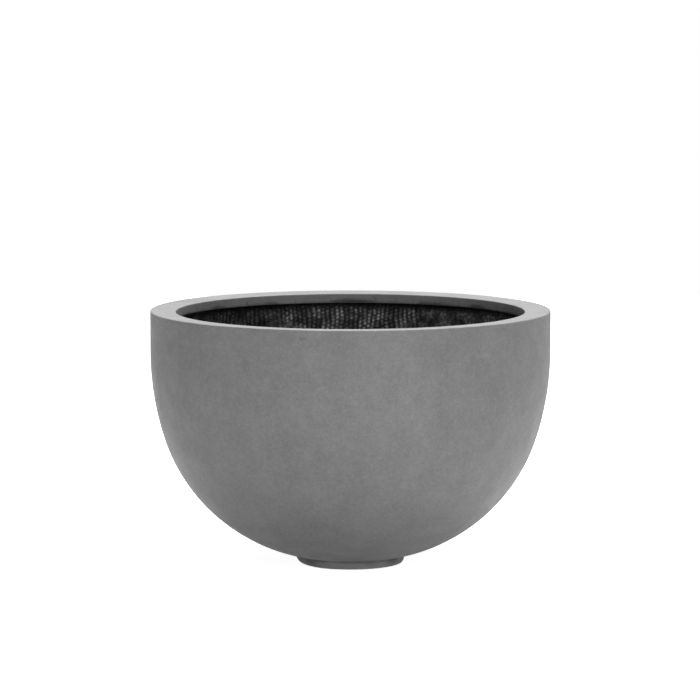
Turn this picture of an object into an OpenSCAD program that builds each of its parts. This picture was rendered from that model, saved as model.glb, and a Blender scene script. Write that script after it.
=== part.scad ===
// Bowl planter: a thin cast stone face, backed with strips of woven cloth, on a short foot.
// The bowl is round about Z and stands on z = 0. The back of the bowl is towards +Y.

/* [Bowl] */
// Outside diameter of the straight wall at the rim
bowl_d = 380; // [350:1:420]
// Height from the ground to the outer edge of the rim
bowl_h = 242; // [225:1:260]
// Height of the straight wall, from the shoulder up to the rim's outer edge
wall_h = 39; // [25:0.5:55]
// Radius of the shoulder arc that starts the curve under the straight wall
shoulder_r = 270; // [245:1:310]
// Angle that the shoulder turns through before the tighter bowl arc takes over
shoulder_a = 17.8; // [12:0.1:22]

/* [Stone face] */
// Thickness of the cast face on the wall
face_t = 4; // [3:0.1:6]
// Thickness of the cast face on the floor
floor_t = 6; // [4:0.1:9]

/* [Rim] */
// Width of the rim's top, from the wall in to the lip's face
rim_w = 24.4; // [18:0.1:32]
// How far the rim's top falls from its outer edge to its inner edge
rim_fall = 1.1; // [0:0.1:2]
// Thickness of the rim's top at its outer edge
flange_t = 4.5; // [3.5:0.1:6]
// Height of the lip, from its lower edge to the rim's outer edge
lip_h = 10.3; // [8:0.1:16]
// Thickness of the lip
lip_t = 4; // [3:0.1:6]
// Radius of the eased edges on the rim and the lip
arris_r = 0.9; // [0.4:0.1:1.4]

/* [Foot] */
// Diameter of the foot where it meets the bowl
foot_d = 103.6; // [90:0.1:120]
// Height of the foot
foot_h = 7.8; // [6:0.1:14]
// How much the foot's radius shrinks from its top to the ground
foot_draft = 0.7; // [0:0.1:2]
// Radius of the worn lower edge
foot_edge_r = 3.3; // [1:0.1:5]
// Diameter of the shallow recess under the foot
recess_d = 72; // [50:1:84]
// Depth of the recess under the foot
recess_h = 1.5; // [0.5:0.1:3]

/* [Cloth] */
// Thickness of one layer of resin-wetted cloth
cloth_t = 1.2; // [0.8:0.1:2]
// Thickness of the resin that bonds the cloth to the stone, and one layer to the next
bond_t = 0.1; // [0.05:0.05:0.3]
// Number of strips that lap over their neighbours, with as many strips between them
over_count = 4; // [3:1:6]
// Width of a side lap, measured round the wall
lap_w = 43; // [20:1:60]
// Diameter of the round cloth on the floor
floor_cloth_d = 180; // [160:1:200]
// How far the strips lap down over the floor cloth, towards the axis
floor_lap_w = 22; // [10:1:28]
// Width over which a lap is stuck to its own strip as it climbs
joggle_w = 8; // [4:0.5:12]

/* [Drain] */
// Diameter of the drain hole
drain_d = 20; // [16:0.5:26]
// Clearance between the plug's sealing beads and the hole
plug_gap = 0.3; // [0.2:0.05:0.6]
// Height of a sealing bead above the plug's stem
bead_h = 0.7; // [0.4:0.1:1]
// Width of the plug's flange beyond the hole
plug_flange_w = 6; // [4:0.5:9]
// Thickness of the plug's flange
plug_flange_t = 2.6; // [2:0.1:4]
// Wall of the plug's hollow stem
plug_wall = 2.5; // [2:0.1:3]
// Height of the plug's stem above the recess
plug_lift = 1; // [0.5:0.1:2]

/* [Hidden] */
$fn = 180;

// Facing the back of the bowl, the first lapping strip is straight ahead
back_a = 90;
rim_r = bowl_d / 2;
rim_in_r = rim_r - rim_w;
rim_fall_a = atan(rim_fall / rim_w);
lip_z = bowl_h - lip_h;
floor_z = foot_h + floor_t;
foot_r = foot_d / 2;
drain_r = drain_d / 2;

// The outline is three tangent stretches: the wall, the shoulder arc and the bowl arc.
// The bowl arc's radius is the one that brings it down to the foot's upper edge.
shoulder_z = bowl_h - wall_h;
shoulder_x = rim_r - shoulder_r;
joint_dir = [cos(shoulder_a), -sin(shoulder_a)];
foot_from_shoulder = [foot_r - shoulder_x, foot_h - shoulder_z];
centre_step = (foot_from_shoulder * foot_from_shoulder - pow(shoulder_r, 2))
    / (2 * (foot_from_shoulder * joint_dir - shoulder_r));
bowl_r = shoulder_r - centre_step;
bowl_centre = [shoulder_x, shoulder_z] + centre_step * joint_dir;

// The rim's filler fits the channel between the wall, the rim's top and the lip
core_in_r = rim_in_r + lip_t;
core_out_r = rim_r - face_t;
core_h = lip_h - flange_t;

gore_a = 180 / over_count;
layer_t = bond_t + cloth_t;
wall_in_r = rim_r - face_t - layer_t;
lap_a = lap_w / wall_in_r * 180 / PI;
joggle_a = joggle_w / wall_in_r * 180 / PI;
floor_cloth_r = floor_cloth_d / 2;
climb_r = floor_cloth_r + joggle_w;

plug_seat_z = floor_z + layer_t;
plug_stem_r = drain_r - plug_gap - bead_h;
plug_stem_z = recess_h + plug_lift;
plug_roof_t = plug_flange_t;
bead_places = [0.35, 0.7];

stone = [0.55, 0.55, 0.54];
filler = [0.62, 0.58, 0.5];
coated_cloth = [0.13, 0.13, 0.13];
rubber = [0.07, 0.07, 0.07];

OVER = [for (i = [1:over_count]) str("over_gore_", i)];
UNDER = [for (i = [1:over_count]) str("under_gore_", i)];

function direction(a) = [cos(a), sin(a)];

// Takes the corner at `p` off to radius `r`; its two faces look towards angles `a` and `b`
module round_corner(p, a, b, r) {
    middle = direction(a) + direction(b);
    translate(p - r * middle / (1 + cos(b - a)))
        difference() {
            polygon([[0, 0], 2 * r * direction(a), 2 * r * middle, 2 * r * direction(b)]);
            circle(r);
        }
}

// What lies past an arc about `centre`: outside its circle, on its outer side, below `top_z`
module past_arc(centre, r, top_z) {
    difference() {
        translate([centre[0], -1]) square([rim_r + 1 - centre[0], top_z + 1]);
        translate(centre) circle(r);
    }
}

// Half section of the space inside the outline drawn in by `inset`, between two heights.
// The bowl arc takes over at `bend_z`, where the two arcs touch.
module outline(inset, from_z, to_z) {
    bend_z = shoulder_z - (shoulder_r - inset) * sin(shoulder_a);
    difference() {
        translate([0, from_z]) square([rim_r - inset, to_z - from_z]);
        past_arc([shoulder_x, shoulder_z], shoulder_r - inset, shoulder_z);
        past_arc(bowl_centre, bowl_r - inset, bend_z);
    }
}

// Revolves a half section from angle `a` to angle `b`
module sector(a, b) {
    rotate([0, 0, a]) rotate_extrude(angle = b - a) children();
}

// The cast face: wall, floor, rim top and lip in one piece
module face_shell() {
    color(stone) rotate_extrude() difference() {
        outline(0, foot_h, bowl_h);
        outline(face_t, floor_z, lip_z);
        translate([0, lip_z - 1]) square([rim_in_r, lip_h + 2]);
        translate([core_in_r, lip_z - 1]) square([core_out_r - core_in_r, core_h + 1]);
        square([drain_r, floor_z + 1]);
        polygon([
            [rim_r + 1, bowl_h + rim_fall / rim_w],
            [rim_in_r - 1, bowl_h - rim_fall - rim_fall / rim_w],
            [rim_in_r - 1, bowl_h + 1],
            [rim_r + 1, bowl_h + 1]
        ]);
        round_corner([rim_r, bowl_h], 0, 90 + rim_fall_a, arris_r);
        round_corner([rim_in_r, bowl_h - rim_fall], 90 + rim_fall_a, 180, arris_r);
        round_corner([rim_in_r, lip_z], 180, 270, arris_r);
    }
}

// The filler cast into the rim's channel, flush with the lip's lower edge
module rim_core() {
    color(filler) rotate_extrude()
        translate([core_in_r, lip_z]) square([core_out_r - core_in_r, core_h]);
}

// The foot: a low stub with a worn lower edge and a shallow recess round the drain hole
module foot() {
    side_a = -atan(foot_draft / foot_h);
    base_r = foot_r - foot_draft;
    color(stone) rotate_extrude() difference() {
        polygon([[drain_r, 0], [base_r, 0], [foot_r, foot_h], [drain_r, foot_h]]);
        square([recess_d / 2, recess_h]);
        round_corner([base_r, 0], 270, 360 + side_a, foot_edge_r);
    }
}

// Half section of the space that lies at least `t` in from the stone and the rim's filler
module inside_stone(t) {
    outline(face_t + t, floor_z + t, lip_z - t);
}

// Half section of some layers of cloth, between two distances from the axis.
// Layer 0 lies on the stone and layer 1 on layer 0, and each turns in under the rim's filler.
module cloth_section(layers, from_r, to_r) {
    back_t = bond_t + layers[0] * layer_t;
    front_t = (layers[len(layers) - 1] + 1) * layer_t;
    intersection() {
        difference() {
            inside_stone(back_t);
            inside_stone(front_t);
            translate([0, lip_z - front_t - 1]) square([core_in_r, front_t + 1]);
        }
        translate([from_r, 0]) square([to_r - from_r, bowl_h]);
    }
}

// The round cloth on the floor
module floor_cloth() {
    color(coated_cloth) rotate_extrude() cloth_section([0], drain_r, floor_cloth_r);
}

// Half section of a strip: layer 0 up the wall, and a lap in layer 1 down over the floor cloth.
// Where the lap is stuck to its own strip, the two make one thickness.
module strip_section() {
    cloth_section([0], floor_cloth_r, rim_r);
    cloth_section([1], floor_cloth_r - floor_lap_w, climb_r);
    cloth_section([0, 1], floor_cloth_r, climb_r);
}

// A strip between two lapping ones
module under_gore(i) {
    middle_a = back_a + gore_a * (2 * i - 1);
    color(coated_cloth) sector(middle_a - gore_a / 2, middle_a + gore_a / 2) strip_section();
}

// A strip whose two side edges climb onto its neighbours
module over_gore(i) {
    half_a = gore_a / 2;
    reach_a = half_a + lap_a;
    color(coated_cloth) rotate([0, 0, back_a + gore_a * 2 * (i - 1)]) difference() {
        sector(-reach_a, reach_a) {
            strip_section();
            cloth_section([0, 1], floor_cloth_r, rim_r);
        }
        // Past its own edges, layer 0 and the lap on the floor cloth are the neighbours'
        for (edge_a = [-reach_a - 1, half_a])
            sector(edge_a, edge_a + lap_a + 1) {
                difference() {
                    square([rim_r, bowl_h]);
                    inside_stone(bond_t + layer_t);
                }
                square([climb_r, bowl_h]);
            }
        // Between the two edges that climb, it is one layer thick
        sector(joggle_a - half_a, half_a - joggle_a)
            difference() {
                inside_stone(layer_t);
                square([climb_r, bowl_h]);
            }
    }
}

// The rubber plug: a flange on the floor cloth and a hollow stem with two sealing beads
module drain_plug() {
    stem_l = plug_seat_z - plug_stem_z;
    flange_r = drain_r + plug_flange_w;
    edge_r = plug_flange_t / 2;
    color(rubber) rotate_extrude() {
        difference() {
            translate([0, plug_seat_z]) square([flange_r, plug_flange_t]);
            round_corner([flange_r, plug_seat_z + plug_flange_t], 0, 90, edge_r);
        }
        difference() {
            union() {
                translate([0, plug_stem_z]) square([plug_stem_r, stem_l]);
                for (share = bead_places)
                    translate([plug_stem_r, plug_stem_z + stem_l * share]) circle(bead_h);
            }
            translate([0, plug_stem_z - 1])
                square([plug_stem_r - plug_wall, stem_l + 1 - plug_roof_t]);
        }
    }
}

face_shell();
rim_core();
foot();
floor_cloth();
for (i = [1:over_count]) {
    under_gore(i);
    over_gore(i);
}
drain_plug();
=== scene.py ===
from math import acos, asin, atan2, cos, degrees, hypot, pi, radians, sin, sqrt

import bmesh
import bpy
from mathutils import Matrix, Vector, noise


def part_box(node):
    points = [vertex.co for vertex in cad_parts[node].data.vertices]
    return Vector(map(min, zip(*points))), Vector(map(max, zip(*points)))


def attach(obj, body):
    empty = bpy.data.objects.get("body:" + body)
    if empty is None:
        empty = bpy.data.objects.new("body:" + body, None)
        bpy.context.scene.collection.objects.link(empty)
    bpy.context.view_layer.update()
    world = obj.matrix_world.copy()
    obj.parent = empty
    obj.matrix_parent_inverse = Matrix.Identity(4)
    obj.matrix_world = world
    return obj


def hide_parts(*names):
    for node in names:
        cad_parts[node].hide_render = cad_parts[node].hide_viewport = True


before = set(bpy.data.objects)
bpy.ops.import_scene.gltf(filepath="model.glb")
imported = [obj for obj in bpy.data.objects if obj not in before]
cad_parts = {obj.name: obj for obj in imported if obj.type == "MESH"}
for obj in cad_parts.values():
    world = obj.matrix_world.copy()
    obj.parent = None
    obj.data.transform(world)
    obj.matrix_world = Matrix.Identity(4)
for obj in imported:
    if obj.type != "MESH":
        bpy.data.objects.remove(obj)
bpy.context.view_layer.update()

# Camera: 3.6 m in front of the bowl, looking 6.4 degrees down, as the photograph was taken.
# A long lens, so both rim ellipses come out as flat as they are there.
camera_data = bpy.data.cameras.new("camera")
camera_data.lens = 195.97
camera_data.sensor_width = 36
camera_data.shift_x = -0.0005
camera = bpy.data.objects.new("camera", camera_data)
camera.location = (0, -3.6, 0.60766)
camera.rotation_euler = (radians(90 - 6.4093), 0, 0)
scene = bpy.context.scene
scene.collection.objects.link(camera)
scene.camera = camera
scene.view_settings.view_transform = "Standard"


# Studio: a white room that reflects in the bowl's grazing edges, three softboxes overhead from front
# to back, a tall one in front that reaches in under the rim and a low one for the foot, on a pale floor.
def add(tree, kind, inputs=None, **settings):
    """Adds a shader node. `inputs` are sockets to link or values to set, `settings` its options."""
    node = tree.nodes.new("ShaderNode" + kind)
    for name, value in settings.items():
        setattr(node, name, value)
    for name, value in (inputs or {}).items():
        if isinstance(value, bpy.types.NodeSocket):
            tree.links.new(value, node.inputs[name])
        else:
            node.inputs[name].default_value = value
    return node


def math_node(tree, operation, first, second, clamp=False):
    """The value of a two-sided sum, product or the like."""
    return add(tree, "Math", {0: first, 1: second}, operation=operation, use_clamp=clamp).outputs[0]


def ramp(tree, value, low, high, to_low=0.0, to_high=1.0):
    """A smooth rise from one value to another."""
    sizes = {"Value": value, "From Min": low, "From Max": high, "To Min": to_low, "To Max": to_high}
    return add(tree, "MapRange", sizes, interpolation_type="SMOOTHSTEP").outputs["Result"]


def seen_directly(tree):
    """1 for what the camera sees, reflected or through glass too, and 0 for light that bounces."""
    ray = add(tree, "LightPath").outputs
    shiny = math_node(tree, "MAXIMUM", ray["Is Glossy Ray"], ray["Is Transmission Ray"])
    return math_node(tree, "MAXIMUM", ray["Is Camera Ray"], shiny)


def softbox(name, place, aim, size, power):
    """A rectangular lamp that faces `aim`, and that the camera doesn't see."""
    lamp = bpy.data.lights.new(name, "AREA")
    lamp.shape = "RECTANGLE"
    lamp.size, lamp.size_y = size
    lamp.energy = power
    obj = bpy.data.objects.new(name, lamp)
    obj.location = place
    obj.rotation_euler = (Vector(aim) - Vector(place)).to_track_quat("-Z", "Y").to_euler()
    obj.visible_camera = False
    scene.collection.objects.link(obj)


ambient = 0.03
world = bpy.data.worlds.new("studio")
world.use_nodes = True
scene.world = world
room = world.node_tree
room_light = add(room, "MapRange", {"Value": seen_directly(room), "To Min": ambient, "To Max": 1.0})
room.links.new(room_light.outputs["Result"], room.nodes["Background"].inputs["Strength"])
room.nodes["Background"].inputs["Color"].default_value = (1, 1, 1, 1)

bowl_middle = (0, 0, 0.12)
softbox("overhead_front", (0.3, -1.3, 2.5), bowl_middle, (1.0, 0.8), 9)
softbox("overhead_middle", (0.2, -0.1, 2.6), bowl_middle, (1.0, 0.8), 15)
softbox("overhead_back", (0.28, 1.2, 2.4), bowl_middle, (1.0, 0.8), 69)
softbox("front_tall", (0.7, -3.1, 1.25), bowl_middle, (1.6, 1.9), 21)
softbox("front_low", (0.3, -2.6, 0.22), bowl_middle, (1.6, 0.4), 3.2)

floor_half = 2.6
floor_drop = 0.0004
glow_strength = 0.93
floor_mesh = bmesh.new()
bmesh.ops.create_grid(floor_mesh, x_segments=1, y_segments=1, size=floor_half)
bmesh.ops.translate(floor_mesh, verts=floor_mesh.verts, vec=(0, 0, -floor_drop))
floor_data = bpy.data.meshes.new("floor")
floor_mesh.to_mesh(floor_data)
floor_mesh.free()
floor = bpy.data.objects.new("floor", floor_data)
scene.collection.objects.link(floor)
floor_paint = bpy.data.materials.new("floor_paint")
floor_paint.use_nodes = True
floor_tree = floor_paint.node_tree
floor_shader = floor_tree.nodes["Principled BSDF"]
floor_shader.inputs["Base Color"].default_value = (0.88, 0.88, 0.88, 1)
floor_shader.inputs["Roughness"].default_value = 1
floor_shader.inputs["Specular IOR Level"].default_value = 0
floor_shader.inputs["Emission Color"].default_value = (1, 1, 1, 1)

# The floor glows only in the open. Under the foot it would shine up through the open drain hole.
under_foot_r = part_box("foot")[1].x - 0.008
floor_place = add(floor_tree, "TexCoord").outputs["Object"]
from_axis = add(floor_tree, "VectorMath", {0: floor_place}, operation="LENGTH").outputs["Value"]
floor_glow = math_node(floor_tree, "MULTIPLY", seen_directly(floor_tree), glow_strength)
in_the_open = ramp(floor_tree, from_axis, under_foot_r - 0.012, under_foot_r)
floor_glow = math_node(floor_tree, "MULTIPLY", floor_glow, in_the_open)
floor_tree.links.new(floor_glow, floor_shader.inputs["Emission Strength"])
floor_data.materials.append(floor_paint)


# Stone face: the thin casting that everything else is built up in, smooth grey and finely speckled.
# One piece from the floor up the wall, over the rim and down the lip, and it rides on the bowl.
def arc(centre, radius, start, end, steps):
    """Points on an arc of a half section, from one angle to another in degrees above the horizontal."""
    angles = [radians(start + (end - start) * i / steps) for i in range(steps + 1)]
    return [(centre[0] + radius * cos(a), centre[1] + radius * sin(a)) for a in angles]


def line(start, end, steps):
    """Points between two others, which it leaves out."""
    return [tuple(s + (e - s) * i / steps for s, e in zip(start, end)) for i in range(1, steps)]


def round_corner(corner, first, second, radius, steps=6):
    """The arc that takes off a corner whose two faces look towards two angles."""
    reach = radius / (1 + cos(radians(second - first)))
    centre = [
        place - reach * (way(radians(first)) + way(radians(second)))
        for place, way in zip(corner, (cos, sin))
    ]
    return arc(centre, radius, first, second, steps)


def to_object(mesh, name, material, body, slot, *nodes):
    """Turns a bmesh into a smooth piece that rides on a body and may stand for CAD nodes."""
    bmesh.ops.recalc_face_normals(mesh, faces=mesh.faces)
    data = bpy.data.meshes.new(name)
    mesh.to_mesh(data)
    mesh.free()
    data.shade_smooth()
    data.materials.append(material)
    obj = bpy.data.objects.new(name, data)
    scene.collection.objects.link(obj)
    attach(obj, body)
    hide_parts(*nodes)
    return obj


def spin(profile, steps):
    """Turns a closed half section of (radius, height) points right round the axis."""
    mesh = bmesh.new()
    ring = [mesh.verts.new((radius, 0, height)) for radius, height in profile]
    edges = [mesh.edges.new((ring[i - 1], ring[i])) for i in range(len(ring))]
    bmesh.ops.spin(
        mesh, geom=ring + edges, cent=(0, 0, 0), axis=(0, 0, 1), angle=2 * pi, steps=steps, use_merge=True
    )
    bmesh.ops.remove_doubles(mesh, verts=mesh.verts, dist=1e-6)
    return mesh


def new_material(name):
    """A material with its node tree, its shader and its place on the object."""
    material = bpy.data.materials.new(name)
    material.use_nodes = True
    tree = material.node_tree
    place = add(tree, "TexCoord").outputs["Object"]
    return material, tree, tree.nodes["Principled BSDF"], place


def clouds(tree, place, scale, detail=3.0, stretch=(1, 1, 1)):
    """Soft noise about 0.5, with its blobs stretched along an axis if asked."""
    spread = add(tree, "VectorMath", {0: place, 1: stretch}, operation="MULTIPLY").outputs[0]
    return add(tree, "TexNoise", {"Vector": spread, "Scale": scale, "Detail": detail}).outputs["Fac"]


def grey(tree, value):
    """A neutral colour from one value."""
    return add(tree, "CombineColor", {"Red": value, "Green": value, "Blue": value}).outputs["Color"]


def blend_colours(tree, share, first, second):
    """The second colour over the first, as far as its share says."""
    mix = add(tree, "Mix", data_type="RGBA")
    for socket, value in ((mix.inputs[0], share), (mix.inputs[6], first), (mix.inputs[7], second)):
        if isinstance(value, bpy.types.NodeSocket):
            tree.links.new(value, socket)
        else:
            socket.default_value = value
    return mix.outputs[2]


def bump(tree, height, strength, distance, under=None):
    """Relief from a height, on top of other relief if there is any."""
    sizes = {"Height": height, "Strength": strength, "Distance": distance}
    if under:
        sizes["Normal"] = under
    return add(tree, "Bump", sizes).outputs["Normal"]


def cast_stone(tree, place, shade):
    """The stone's grey with its clouds, blotches, streaks, grain and pits, and the grain and the pits."""
    layers = [
        (clouds(tree, place, 9), 0.05),
        (clouds(tree, place, 42), 0.07),
        (clouds(tree, place, 30, 2.0, (1, 1, 0.12)), 0.045),
        (clouds(tree, place, 120, 2.0), 0.06),
        (clouds(tree, place, 290, 2.0), 0.09),
    ]
    grain = clouds(tree, place, 900, 2.0)
    grain_weight = 0.16
    value = math_node(tree, "MULTIPLY_ADD", grain, grain_weight)
    value.node.inputs[2].default_value = shade - 0.5 * (grain_weight + sum(weight for _, weight in layers))
    for cloud, weight in layers:
        value = math_node(tree, "ADD", value, math_node(tree, "MULTIPLY", cloud, weight))
    spots = add(tree, "TexVoronoi", {"Vector": place, "Scale": 210.0}).outputs["Distance"]
    rare = ramp(tree, clouds(tree, place, 70), 0.52, 0.66)
    pits = math_node(tree, "MULTIPLY", ramp(tree, spots, 0.16, 0.05), rare)
    value = math_node(tree, "MULTIPLY", value, ramp(tree, pits, 0, 1, 1, 0.55))
    return value, grain, pits


foot_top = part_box("foot")[1]
core_low, core_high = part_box("rim_core")
rim_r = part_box("face_shell")[1].x
rim_w = 0.0244
lip_t = 0.004
floor_t = 0.006
bowl_h = 0.242
wall_h = 0.039
shoulder_r = 0.270
shoulder_a = 17.8
face_t = rim_r - core_high.x
rim_in_r = rim_r - rim_w
rim_fall = 0.0011
rim_fall_a = degrees(atan2(rim_fall, rim_r - rim_in_r))
arris_r = 0.0009
lip_z = core_low.z
core_in_r = rim_in_r + lip_t
foot_r = foot_top.x
foot_h = foot_top.z
floor_z = foot_h + floor_t
drain_r = 0.010

# The bowl arc touches the shoulder arc and comes down to the foot's upper edge
shoulder_centre = Vector((rim_r - shoulder_r, bowl_h - wall_h))
joint_way = Vector((cos(radians(shoulder_a)), -sin(radians(shoulder_a))))
to_foot = Vector((foot_r, foot_h)) - shoulder_centre
centre_step = (to_foot.length_squared - shoulder_r ** 2) / (2 * (to_foot.dot(joint_way) - shoulder_r))
bowl_r = shoulder_r - centre_step
bowl_centre = shoulder_centre + centre_step * joint_way
foot_angle = degrees(acos((foot_r - bowl_centre.x) / bowl_r))
inner_r = bowl_r - face_t
floor_angle = degrees(asin((bowl_centre.y - floor_z) / inner_r))

outside = [(drain_r, foot_h)] + line((drain_r, foot_h), (foot_r, foot_h), 6)
outside += arc(bowl_centre, bowl_r, -foot_angle, -shoulder_a, 44)
outside += arc(shoulder_centre, shoulder_r, -shoulder_a, 0, 20)[1:]
rim_edge = round_corner((rim_r, bowl_h), 0, 90 + rim_fall_a, arris_r)
rim_inner_edge = round_corner((rim_in_r, bowl_h - rim_fall), 90 + rim_fall_a, 180, arris_r)
lip_edge = round_corner((rim_in_r, lip_z), 180, 270, arris_r)
outside += line(outside[-1], rim_edge[0], 10) + rim_edge + line(rim_edge[-1], rim_inner_edge[0], 9)
outside += rim_inner_edge + line(rim_inner_edge[-1], lip_edge[0], 5) + lip_edge
inside = [(core_in_r, lip_z), (core_in_r, core_high.z), (core_high.x, core_high.z)]
inside += line(inside[-1], (core_high.x, bowl_h - wall_h), 6)
inside += arc(shoulder_centre, shoulder_r - face_t, 0, -shoulder_a, 10)
inside += arc(bowl_centre, inner_r, -shoulder_a, -floor_angle, 18)[1:]
inside += [(drain_r, floor_z)]
stone_mesh = spin(outside + inside, 540)


def outline_radius(height):
    """Radius of the bowl's outside at a height above the foot."""
    if height > shoulder_centre.y:
        return rim_r
    bend_z = shoulder_centre.y - shoulder_r * sin(radians(shoulder_a))
    centre, radius = (shoulder_centre, shoulder_r) if height > bend_z else (bowl_centre, bowl_r)
    return centre.x + sqrt(radius ** 2 - (centre.y - height) ** 2)


# What shows of the casting is a little uneven, and the rim's outer edge has a few small chips
uneven_by = 0.00012
chip_reach = 0.002
chip_depth = 0.0022
for vert in stone_mesh.verts:
    radius = hypot(vert.co.x, vert.co.y)
    on_lip_face = radius < core_in_r - 0.0005 and vert.co.z > lip_z - 0.0005
    on_rim_top = vert.co.z > core_high.z + 0.0005
    on_wall = vert.co.z > foot_h + 0.0005 and radius > outline_radius(vert.co.z) - 0.001
    if not (on_lip_face or on_rim_top or on_wall):
        continue
    way = Vector((vert.co.x, vert.co.y, 0)) / radius
    unevenness = uneven_by * (1 + noise.noise(way * 2.2 + Vector((0, 0, vert.co.z * 9))))
    near_top = max(0, 1 - abs(vert.co.z - bowl_h) / chip_reach)
    at_edge = near_top * max(0, 1 - abs(radius - rim_r) / chip_reach)
    chipped = max(0, noise.noise(way * 26) - 0.52) * chip_depth * at_edge
    vert.co -= way * (unevenness + chipped) + Vector((0, 0, chipped * 0.6))


def ragged_spot(tree, place, middle, reach_round, reach_up, ragged):
    """1 in the middle of a ragged spot on the surface, and 0 beyond its reach."""
    reach = (1 / reach_round, 1 / reach_round, 1 / reach_up)
    off = add(tree, "VectorMath", {0: place, 1: middle}, operation="SUBTRACT").outputs[0]
    off = add(tree, "VectorMath", {0: off, 1: reach}, operation="MULTIPLY").outputs[0]
    away = add(tree, "VectorMath", {0: off}, operation="LENGTH").outputs["Value"]
    spread = math_node(tree, "SUBTRACT", math_node(tree, "ADD", away, ragged), 0.5)
    return ramp(tree, spread, 1.0, 0.2)


def on_circle(radius, turned, height):
    """A place at a distance from the axis, so many degrees round from +X."""
    return (radius * cos(radians(turned)), radius * sin(radians(turned)), height)


stone_paint, tree, shader, place = new_material("cast_stone")
stone_value, grain, pits = cast_stone(tree, place, 0.28)

# Marks of handling: way round from +X in degrees, height, reach round and up, and how much lighter
marks = [
    (-49.7, 0.214, 0.011, 0.003, 0.045),
    (-52.0, 0.045, 0.034, 0.008, 0.030),
    (-103.2, 0.234, 0.005, 0.002, -0.060),
    (-119.8, 0.206, 0.009, 0.012, -0.022),
    (-152.0, 0.215, 0.010, 0.010, -0.035),
    (-43.8, 0.236, 0.010, 0.004, -0.040),
    (62.0, 0.150, 0.026, 0.009, 0.025),
    (140.0, 0.190, 0.014, 0.010, -0.030),
]
height = add(tree, "SeparateXYZ", {"Vector": place}).outputs["Z"]
# Painted shade: the face darkens towards the foot where the bowl curves in over it, with cloudy edges.
painted_shade_by_foot = ramp(tree, clouds(tree, place, 38, 4.0), 0.3, 0.7, 0.32, 0.52)
painted_shade_by_foot = math_node(tree, "MULTIPLY", painted_shade_by_foot, ramp(tree, height, foot_h + 0.018, foot_h + 0.004))
stone_value = math_node(tree, "MULTIPLY", stone_value, math_node(tree, "SUBTRACT", 1.0, painted_shade_by_foot))
ragged = clouds(tree, place, 260, 5.0)
for mark_a, mark_z, reach_round, reach_up, lighter in marks:
    middle = on_circle(outline_radius(mark_z), mark_a, mark_z)
    mark = ragged_spot(tree, place, middle, reach_round, reach_up, ragged)
    stone_value = math_node(tree, "ADD", stone_value, math_node(tree, "MULTIPLY", mark, lighter))
flat_place = add(tree, "VectorMath", {0: place, 1: (1, 1, 0)}, operation="MULTIPLY").outputs[0]
radius_out = add(tree, "VectorMath", {0: flat_place}, operation="LENGTH").outputs["Value"]
on_lip = math_node(
    tree,
    "MULTIPLY",
    ramp(tree, radius_out, rim_in_r + 0.0011, rim_in_r + 0.0003),
    ramp(tree, height, lip_z - 0.002, lip_z - 0.001),
)
low_down = ramp(tree, height, bowl_h - 0.002, lip_z)
smudge_edge = math_node(tree, "MULTIPLY", clouds(tree, place, 34, 6.0, (1, 1, 2.5)), 1.1)
smudge_reach = math_node(tree, "ADD", low_down, smudge_edge)

# Where the black coat was smudged furthest up the lip: way round in degrees, reach and strength
for smudge_a, reach_round, stronger in [
    (90, 0.040, 0.62), (62, 0.022, 0.5), (141, 0.018, 0.5), (40, 0.024, 0.5),
    (118, 0.012, 0.3), (205, 0.030, 0.5), (262, 0.022, 0.4), (318, 0.034, 0.5),
]:
    middle = on_circle(rim_in_r, smudge_a, lip_z + 0.001)
    smudged = ragged_spot(tree, place, middle, reach_round, 0.012, ragged)
    smudge_reach = math_node(tree, "ADD", smudge_reach, math_node(tree, "MULTIPLY", smudged, stronger))
smudge = ramp(tree, smudge_reach, 1.25, 2.1, 0.0, 0.8)
flecks = ramp(tree, clouds(tree, place, 210, 5.0), 0.56, 0.66, 0.0, 0.5)
flecks = math_node(tree, "MULTIPLY", flecks, low_down)
smudge = math_node(tree, "MAXIMUM", smudge, flecks)
rubbed_edge = ramp(tree, height, lip_z, lip_z + 0.0014, 0.45, 1.0)
smudge = math_node(tree, "MULTIPLY", smudge, rubbed_edge)
overspray = math_node(tree, "MULTIPLY", on_lip, smudge, clamp=True)
coated = blend_colours(tree, overspray, grey(tree, stone_value), (0.012, 0.012, 0.012, 1))
tree.links.new(coated, shader.inputs["Base Color"])
rough = ramp(tree, clouds(tree, place, 60), 0.3, 0.7, 0.57, 0.68)
tree.links.new(rough, shader.inputs["Roughness"])
shader.inputs["Specular IOR Level"].default_value = 0.3
pit_depth = math_node(tree, "SUBTRACT", 1.0, pits)
relief = bump(tree, pit_depth, 0.6, 0.0003, bump(tree, grain, 0.35, 0.0002))
tree.links.new(relief, shader.inputs["Normal"])
to_object(stone_mesh, "stone_face", stone_paint, "bowl", "stone_face", "face_shell")

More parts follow.
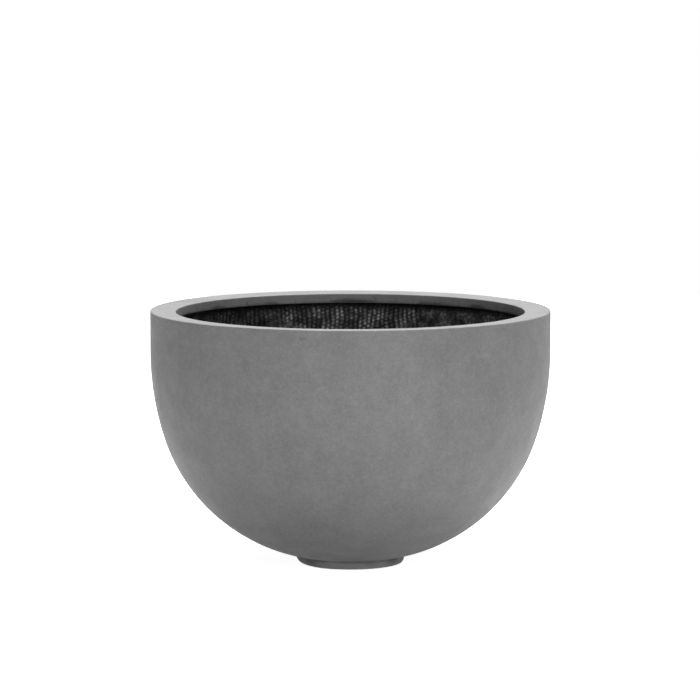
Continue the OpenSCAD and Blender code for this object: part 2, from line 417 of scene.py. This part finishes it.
# Foot: the short stub under the casting, rougher and darker, with a worn lower edge.
# It is cast on to the face round the drain hole, and its shallow recess lets water out.
foot_draft = 0.0007
recess_r = 0.036
recess_h = 0.0015
foot_edge_r = 0.0033
base_r = foot_r - foot_draft
side_a = -degrees(atan2(foot_draft, foot_h))
worn_edge = round_corner((base_r, 0), 360 + side_a, 270, foot_edge_r, 8)
foot_profile = [(drain_r, foot_h)] + line((drain_r, foot_h), (foot_r, foot_h), 6) + [(foot_r, foot_h)]
foot_profile += line((foot_r, foot_h), worn_edge[0], 5) + worn_edge
foot_profile += line(worn_edge[-1], (recess_r, 0), 6) + [(recess_r, 0), (recess_r, recess_h)]
foot_profile += line((recess_r, recess_h), (drain_r, recess_h), 6) + [(drain_r, recess_h)]
foot_mesh = spin(foot_profile, 360)
for vert in foot_mesh.verts:
    radius = hypot(vert.co.x, vert.co.y)
    if radius < recess_r + 0.001 or vert.co.z > foot_h - 0.0004 and radius < foot_r - 0.0004:
        continue
    way = Vector((vert.co.x, vert.co.y, 0)) / radius
    low = max(0, 1 - vert.co.z / 0.006) * max(0, (radius - recess_r) / (base_r - recess_r))
    wear = max(0, noise.noise(way * 4.0) + 0.15) * 0.0011 + max(0, noise.noise(way * 19)) * 0.0005
    lean = 0.0022 - 0.0037 * vert.co.z / foot_h
    vert.co -= way * (wear * low + lean * max(0, -way.x - 0.55) / 0.45)
foot_paint, tree, shader, place = new_material("foot_stone")
# The foot's grey is set paler than the face's: painted light for the light that the floor bounces up on to
# it.
foot_value, grain, pits = cast_stone(tree, place, 0.49)
height = add(tree, "SeparateXYZ", {"Vector": place}).outputs["Z"]
# Just under the joint, the top of the foot tucked in under the bowl is darker: dirt and painted shade.
joint_band_dirt_shade = ramp(tree, height, foot_h - 0.0028, foot_h - 0.0004)
foot_dirt_and_shade = math_node(tree, "MULTIPLY", joint_band_dirt_shade, ramp(tree, clouds(tree, place, 40), 0.25, 0.7, 0.1, 0.45))

# Splashes of soil dried on by the joint: degrees round, height, and how much darker
ragged = clouds(tree, place, 160, 5.0)
splashes = [(222, 0.0050, 0.42), (321, 0.0052, 0.36), (292, 0.0056, 0.16), (95, 0.0050, 0.40)]
for splash_a, splash_z, darker in splashes:
    middle = on_circle(foot_r, splash_a, splash_z)
    splash = ragged_spot(tree, place, middle, 0.014, 0.0035, ragged)
    foot_dirt_and_shade = math_node(tree, "ADD", foot_dirt_and_shade, math_node(tree, "MULTIPLY", splash, darker))
kept = math_node(tree, "SUBTRACT", 1.0, foot_dirt_and_shade, clamp=True)
tree.links.new(grey(tree, math_node(tree, "MULTIPLY", foot_value, kept)), shader.inputs["Base Color"])
tree.links.new(ramp(tree, clouds(tree, place, 80), 0.3, 0.7, 0.7, 0.9), shader.inputs["Roughness"])
tree.links.new(bump(tree, clouds(tree, place, 420, 4.0), 0.7, 0.0005), shader.inputs["Normal"])
to_object(foot_mesh, "foot_stub", foot_paint, "bowl", "stone_foot", "foot")

# Rim filler: the CAD ring inside the rim, a raw sandy mix trowelled in flush with the lip.
# The cloth that turns in under the rim hides it once the bowl is laid up.
core_paint, tree, shader, place = new_material("raw_filler")
core_mix = math_node(tree, "MULTIPLY", clouds(tree, place, 700, 4.0), 0.25)
sandy = blend_colours(tree, core_mix, (0.30, 0.26, 0.20, 1), (0.50, 0.45, 0.37, 1))
tree.links.new(sandy, shader.inputs["Base Color"])
tree.links.new(ramp(tree, clouds(tree, place, 90), 0.3, 0.7, 0.75, 0.95), shader.inputs["Roughness"])
tree.links.new(bump(tree, clouds(tree, place, 500, 4.0), 0.8, 0.0005), shader.inputs["Normal"])
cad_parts["rim_core"].data.materials.clear()
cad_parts["rim_core"].data.materials.append(core_paint)

# Floor cloth: a round of the same coated woven cloth, bedded in resin on the floor of the casting.
# It is laid first, and every strip laps down over its edge.
pitch = 0.00466
step = pitch / 4
bond_t = 0.0001
cloth_t = 0.0012
layer_t = bond_t + cloth_t
weave_depth = 0.0009
floor_cloth_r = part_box("floor_cloth")[1].x


def smooth(value):
    """Rises smoothly from 0 to 1."""
    value = min(1, max(0, value))
    return value * value * (3 - 2 * value)


def weave(across, along, seed, filled):
    """Height on the cloth, from 0 in a gap to 1 on a tow. Resin that fills the gaps levels it."""
    waver = Vector((across * 22, along * 22, seed))
    lean = 0.9 * noise.noise(waver * 0.5 + Vector((0, 0, 4)))
    tow = across / pitch + 0.7 * noise.noise(waver) + 0.3 * noise.noise(waver * 3.5) + lean
    pick = 1.25 * along / pitch + 0.9 * noise.noise(waver * 1.4 + Vector((7, 3, 5)))
    lane, row = round(tow), round(pick)
    fat = 0.84 + 0.36 * noise.noise(Vector((lane * 0.73, row * 0.61, seed)))
    warp = (1 - (2 * (tow - lane)) ** 2) * (0.78 + 0.22 * cos(pi * (2 * pick + lane)))
    weft = (1 - (2 * (pick - row)) ** 2) * (0.4 - 0.22 * cos(pi * (tow + row)))
    level = 0.62 + 0.3 * noise.noise(waver * 0.6)
    return min(1, fat * max(warp, weft)) * (1 - filled) + level * filled


def extrude_cloth(mesh, sheet, fronts):
    """Gives a sheet its thickness: a copy stays at the back, and the sheet goes to its front places."""
    bmesh.ops.extrude_face_region(mesh, geom=mesh.faces[:])
    for vert, front in zip(sheet, fronts):
        vert.co = front


coat_paint, tree, shader, place = new_material("coated_cloth")
crest = add(tree, "Attribute", attribute_name="crest").outputs["Fac"]
across_in = add(tree, "Attribute", attribute_name="across").outputs["Fac"]
along_in = add(tree, "Attribute", attribute_name="along").outputs["Fac"]
dark_coat = add(tree, "Attribute", attribute_name="dark_coat").outputs["Fac"]
on_cloth = add(tree, "CombineXYZ", {"X": across_in, "Y": along_in}).outputs[0]
fibres = clouds(tree, on_cloth, 1.0, 3.0, (2600, 160, 1))
# The crests are painted up to a pale grey and the gaps near black: partly dust and fibre showing through
# the coat, partly painted highlight on the tows and painted shade between them.
cloth_tone_and_painted_light = ramp(tree, crest, 0.30, 0.95, 0.032, 0.49)
rubbed = ramp(tree, clouds(tree, place, 55, 4.0), 0.38, 0.6, 0.35, 1.5)
flecked = ramp(tree, clouds(tree, place, 340, 4.0), 0.36, 0.66, 0.48, 1.7)
coat_height = add(tree, "SeparateXYZ", {"Vector": place}).outputs["Z"]
# Painted shadow of the overhanging rim: the cloth just under the lip goes near black.
painted_shadow_under_lip = ramp(tree, coat_height, lip_z - 0.0105, lip_z - 0.0035, 1.15, 0.03)
black_low_down = ramp(tree, coat_height, lip_z - 0.070, lip_z - 0.028, 0.22, 1.0)
black_where_thick = ramp(tree, dark_coat, 0, 1, 1.0, 0.3)
for paler in (rubbed, flecked, painted_shadow_under_lip, black_low_down, black_where_thick):
    cloth_tone_and_painted_light = math_node(tree, "MULTIPLY", cloth_tone_and_painted_light, paler)
tree.links.new(grey(tree, cloth_tone_and_painted_light), shader.inputs["Base Color"])
shader.inputs["Specular IOR Level"].default_value = 0.22
tree.links.new(ramp(tree, clouds(tree, place, 120, 4.0), 0.3, 0.7, 0.3, 0.48), shader.inputs["Roughness"])
relief = bump(tree, clouds(tree, place, 600, 3.0), 0.3, 0.0003, bump(tree, fibres, 0.5, 0.00025))
tree.links.new(relief, shader.inputs["Normal"])


def inside_height(radius, inset):
    """Height of the floor and the bowl arc, a little in from the stone."""
    on_arc = bowl_centre.y - sqrt(max(0, (inner_r - inset) ** 2 - (radius - bowl_centre.x) ** 2))
    return max(floor_z + inset, on_arc)


cloth_mesh = bmesh.new()
half_count = round(floor_cloth_r / step) + 1
bmesh.ops.create_grid(
    cloth_mesh, x_segments=2 * half_count, y_segments=2 * half_count, size=half_count * step
)
outside_verts = [
    v for v in cloth_mesh.verts if not drain_r - 0.5 * step <= v.co.length <= floor_cloth_r + 0.5 * step
]
bmesh.ops.delete(cloth_mesh, geom=outside_verts, context="VERTS")
for vert in cloth_mesh.verts:
    if vert.is_boundary:
        edge_r = drain_r if vert.co.length < 2 * drain_r else floor_cloth_r
        vert.co = vert.co.normalized() * edge_r
for name in ("across", "along", "crest"):
    cloth_mesh.verts.layers.float.new(name)
across_layer, along_layer, crest_layer = (
    cloth_mesh.verts.layers.float[name] for name in ("across", "along", "crest")
)
floor_sheet, floor_fronts = list(cloth_mesh.verts), []
for vert in floor_sheet:
    radius = vert.co.length
    filled = smooth(noise.noise(vert.co * 24) * 1.8 + 0.1)
    lift = weave(vert.co.x, vert.co.y, 3, filled)
    vert[across_layer], vert[along_layer], vert[crest_layer] = vert.co.x, vert.co.y, lift
    front_in = layer_t - weave_depth * (1 - lift)
    floor_fronts.append(Vector((vert.co.x, vert.co.y, inside_height(radius, front_in))))
    vert.co.z = inside_height(radius, bond_t)
extrude_cloth(cloth_mesh, floor_sheet, floor_fronts)
to_object(cloth_mesh, "floor_cloth_laid", coat_paint, "bowl", "coated_cloth", "floor_cloth")

# Strips: four laid straight on the stone, then four whose side edges climb on to them.
# Each runs from under the rim down the wall, and its end laps over the floor cloth.
over_count = sum(name.startswith("over_gore_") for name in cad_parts)
half_gore = 90 / over_count
lap_w = 0.043
lap_a = degrees(lap_w / (rim_r - face_t - layer_t))
joggle_w = 0.008
climb_r = floor_cloth_r + joggle_w
floor_lap_w = 0.022
end_r = floor_cloth_r - floor_lap_w
wall_in_r = rim_r - face_t
under_corner_r = 0.003
taper_w = 0.003

# Degrees round where resin has levelled the cloth, and where its coat is thick down to some depth
levelled_from, levelled_to = 24, 67
dark_from, dark_to = 114, 162
dark_depth = 0.09
dark_fade = 0.04


def on_arc(centre, radius, angle):
    """A row on an arc: its radius and height, and which way the stone lies behind it."""
    way = Vector((cos(radians(angle)), sin(radians(angle))))
    return (*(Vector(centre) + radius * way), *way)


def rows_along(length, row_at):
    """Rows of one stretch, a quarter of a tow apart, without its last."""
    count = max(1, round(length / step))
    return [row_at(i / count) for i in range(count)]


def bowl_angle(radius):
    """Angle below the horizontal at which the inside of the bowl has that radius."""
    return degrees(acos((radius - bowl_centre.x) / inner_r))


corner_centre = (wall_in_r - under_corner_r, lip_z - under_corner_r)
strip_rows = rows_along(
    corner_centre[0] - core_in_r, lambda f: (core_in_r + (corner_centre[0] - core_in_r) * f, lip_z, 0, 1)
)
strip_rows += rows_along(
    radians(90) * under_corner_r, lambda f: on_arc(corner_centre, under_corner_r, 90 - 90 * f)
)
strip_rows += rows_along(
    corner_centre[1] - shoulder_centre.y,
    lambda f: (wall_in_r, corner_centre[1] + (shoulder_centre.y - corner_centre[1]) * f, 1, 0),
)
strip_rows += rows_along(
    radians(shoulder_a) * (shoulder_r - face_t),
    lambda f: on_arc(shoulder_centre, shoulder_r - face_t, -shoulder_a * f),
)
bowl_stops = [shoulder_a, bowl_angle(climb_r), bowl_angle(floor_cloth_r), bowl_angle(end_r)]
for top, bottom in zip(bowl_stops, bowl_stops[1:]):
    strip_rows += rows_along(
        radians(bottom - top) * inner_r,
        lambda f: on_arc(bowl_centre, inner_r, -top - (bottom - top) * f),
    )
strip_rows.append(on_arc(bowl_centre, inner_r, -bowl_stops[-1]))


def between(angle, start, end):
    """1 where an angle in radians lies between two in degrees, and 0 outside, with soft ends."""
    turned = degrees(angle) % 360
    return smooth((turned - start) / 6 + 1) * smooth((end - turned) / 4 + 1)


def lay_strip(name, middle_a, reach_a, seed):
    """Lays one strip. Past its own width, its sides lie on the strips next to it."""
    mesh = bmesh.new()
    layers = [mesh.verts.layers.float.new(n) for n in ("across", "along", "crest", "dark_coat")]
    sheet, fronts, rows, along = {}, [], [], 0.0
    for k, (radius, height, way_r, way_z) in enumerate(strip_rows):
        if k:
            along += hypot(radius - strip_rows[k - 1][0], height - strip_rows[k - 1][1])
        own = radians(half_gore) * radius
        limit = radians(reach_a) * radius if radius > climb_r - 1e-6 else own
        last = round(limit / step)
        to_floor = smooth((climb_r - radius) / joggle_w)
        rows.append((last, limit))
        for j in range(-last, last + 1):
            u = j * step
            if abs(j) == last:
                u = limit if j > 0 else -limit
            elif abs(abs(u) - own) < step / 2:
                u = own if u > 0 else -own
            climb = smooth((abs(u) - own + joggle_w) / joggle_w) if reach_a > half_gore else 0
            back_in = bond_t + layer_t * max(climb, to_floor)
            angle = radians(middle_a) + u / radius
            here = Vector((radius * cos(angle), radius * sin(angle), height))
            patchy = 0.85 * smooth(noise.noise(here * 26 + Vector((seed, 0, 0))) * 2.2 - 0.1)
            thins_out = smooth((height - lip_z + dark_depth) / dark_fade)
            dark = between(angle, dark_from, dark_to) * thins_out
            filled = min(1, max(patchy, 0.9 * between(angle, levelled_from, levelled_to), 0.35 * dark))
            lift = weave(u, along, seed, filled)
            lapping = reach_a > half_gore and radius > climb_r
            thinned = 0.15 + 0.85 * smooth((limit - abs(u)) / taper_w) if lapping else 1
            front_in = back_in + (cloth_t - weave_depth * (1 - lift)) * thinned
            back, front = (
                Vector((
                    (radius - inset * way_r) * cos(angle),
                    (radius - inset * way_r) * sin(angle),
                    height - inset * way_z,
                ))
                for inset in (back_in, front_in)
            )
            vert = mesh.verts.new(back)
            for layer, value in zip(layers, (u, along, lift, dark)):
                vert[layer] = value
            sheet[k, j] = vert
            fronts.append(front)
    for k in range(len(rows) - 1):
        notch = abs(rows[k][1] - rows[k + 1][1]) > 2 * step
        for j in range(-rows[k][0] - 1, rows[k][0] + 1):
            corners = [sheet.get(c) for c in ((k, j), (k, j + 1), (k + 1, j + 1), (k + 1, j))]
            present = [c for c in corners if c]
            if len(present) == 4 or len(present) == 3 and not notch:
                mesh.faces.new(present)
    extrude_cloth(mesh, list(sheet.values()), fronts)
    to_object(mesh, name + "_laid", coat_paint, "bowl", "coated_cloth", name)


for i in range(over_count):
    lay_strip(f"under_gore_{i + 1}", 90 + half_gore * 2 * (2 * i + 1), half_gore, 11 + i)
for i in range(over_count):
    lay_strip(f"over_gore_{i + 1}", 90 + half_gore * 4 * i, half_gore + lap_a, 31 + i)

# Drain plug: soft black rubber with two sealing beads, pressed into the drain hole from inside.
# It is the only piece that moves, and lifts straight out by its flange.
plug_low, plug_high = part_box("drain_plug")
plug_seat_z = floor_z + layer_t
flange_r = plug_high.x
flange_t = plug_high.z - plug_seat_z
bead_h = 0.0007
plug_gap = 0.0003
stem_r = drain_r - plug_gap - bead_h
stem_l = plug_seat_z - plug_low.z
stem_wall = 0.0025
hollow_r = stem_r - stem_wall
stem_edge_r = 0.0005
pole_r = 0.0004
plug_top = (pole_r, plug_high.z)
plug_profile = [plug_top] + line(plug_top, (flange_r - flange_t / 2, plug_high.z), 10)
plug_profile += round_corner((flange_r, plug_high.z), 90, 0, flange_t / 2, 8)
plug_profile += line(plug_profile[-1], (flange_r, plug_seat_z), 2)
plug_profile += [(flange_r, plug_seat_z), (stem_r, plug_seat_z)]
for share in (0.7, 0.35):
    plug_profile += arc((stem_r, plug_low.z + stem_l * share), bead_h, 90, -90, 8)
plug_profile += round_corner((stem_r, plug_low.z), 0, -90, stem_edge_r, 4) + [(hollow_r, plug_low.z)]
plug_profile += line((hollow_r, plug_low.z), (hollow_r, plug_seat_z - flange_t), 3)
plug_profile += [(hollow_r, plug_seat_z - flange_t), (pole_r, plug_seat_z - flange_t)]
rubber_paint, tree, shader, place = new_material("moulded_rubber")
bloom = math_node(tree, "MULTIPLY", ramp(tree, clouds(tree, place, 150, 4.0), 0.4, 0.75), 0.02)
tree.links.new(grey(tree, math_node(tree, "ADD", bloom, 0.014)), shader.inputs["Base Color"])
tree.links.new(ramp(tree, clouds(tree, place, 300), 0.3, 0.7, 0.5, 0.68), shader.inputs["Roughness"])
tree.links.new(bump(tree, clouds(tree, place, 1500, 2.0), 0.3, 0.0001), shader.inputs["Normal"])
plug_mesh = spin(plug_profile, 128)
to_object(plug_mesh, "rubber_plug", rubber_paint, "plug", "plug_rubber", "drain_plug")
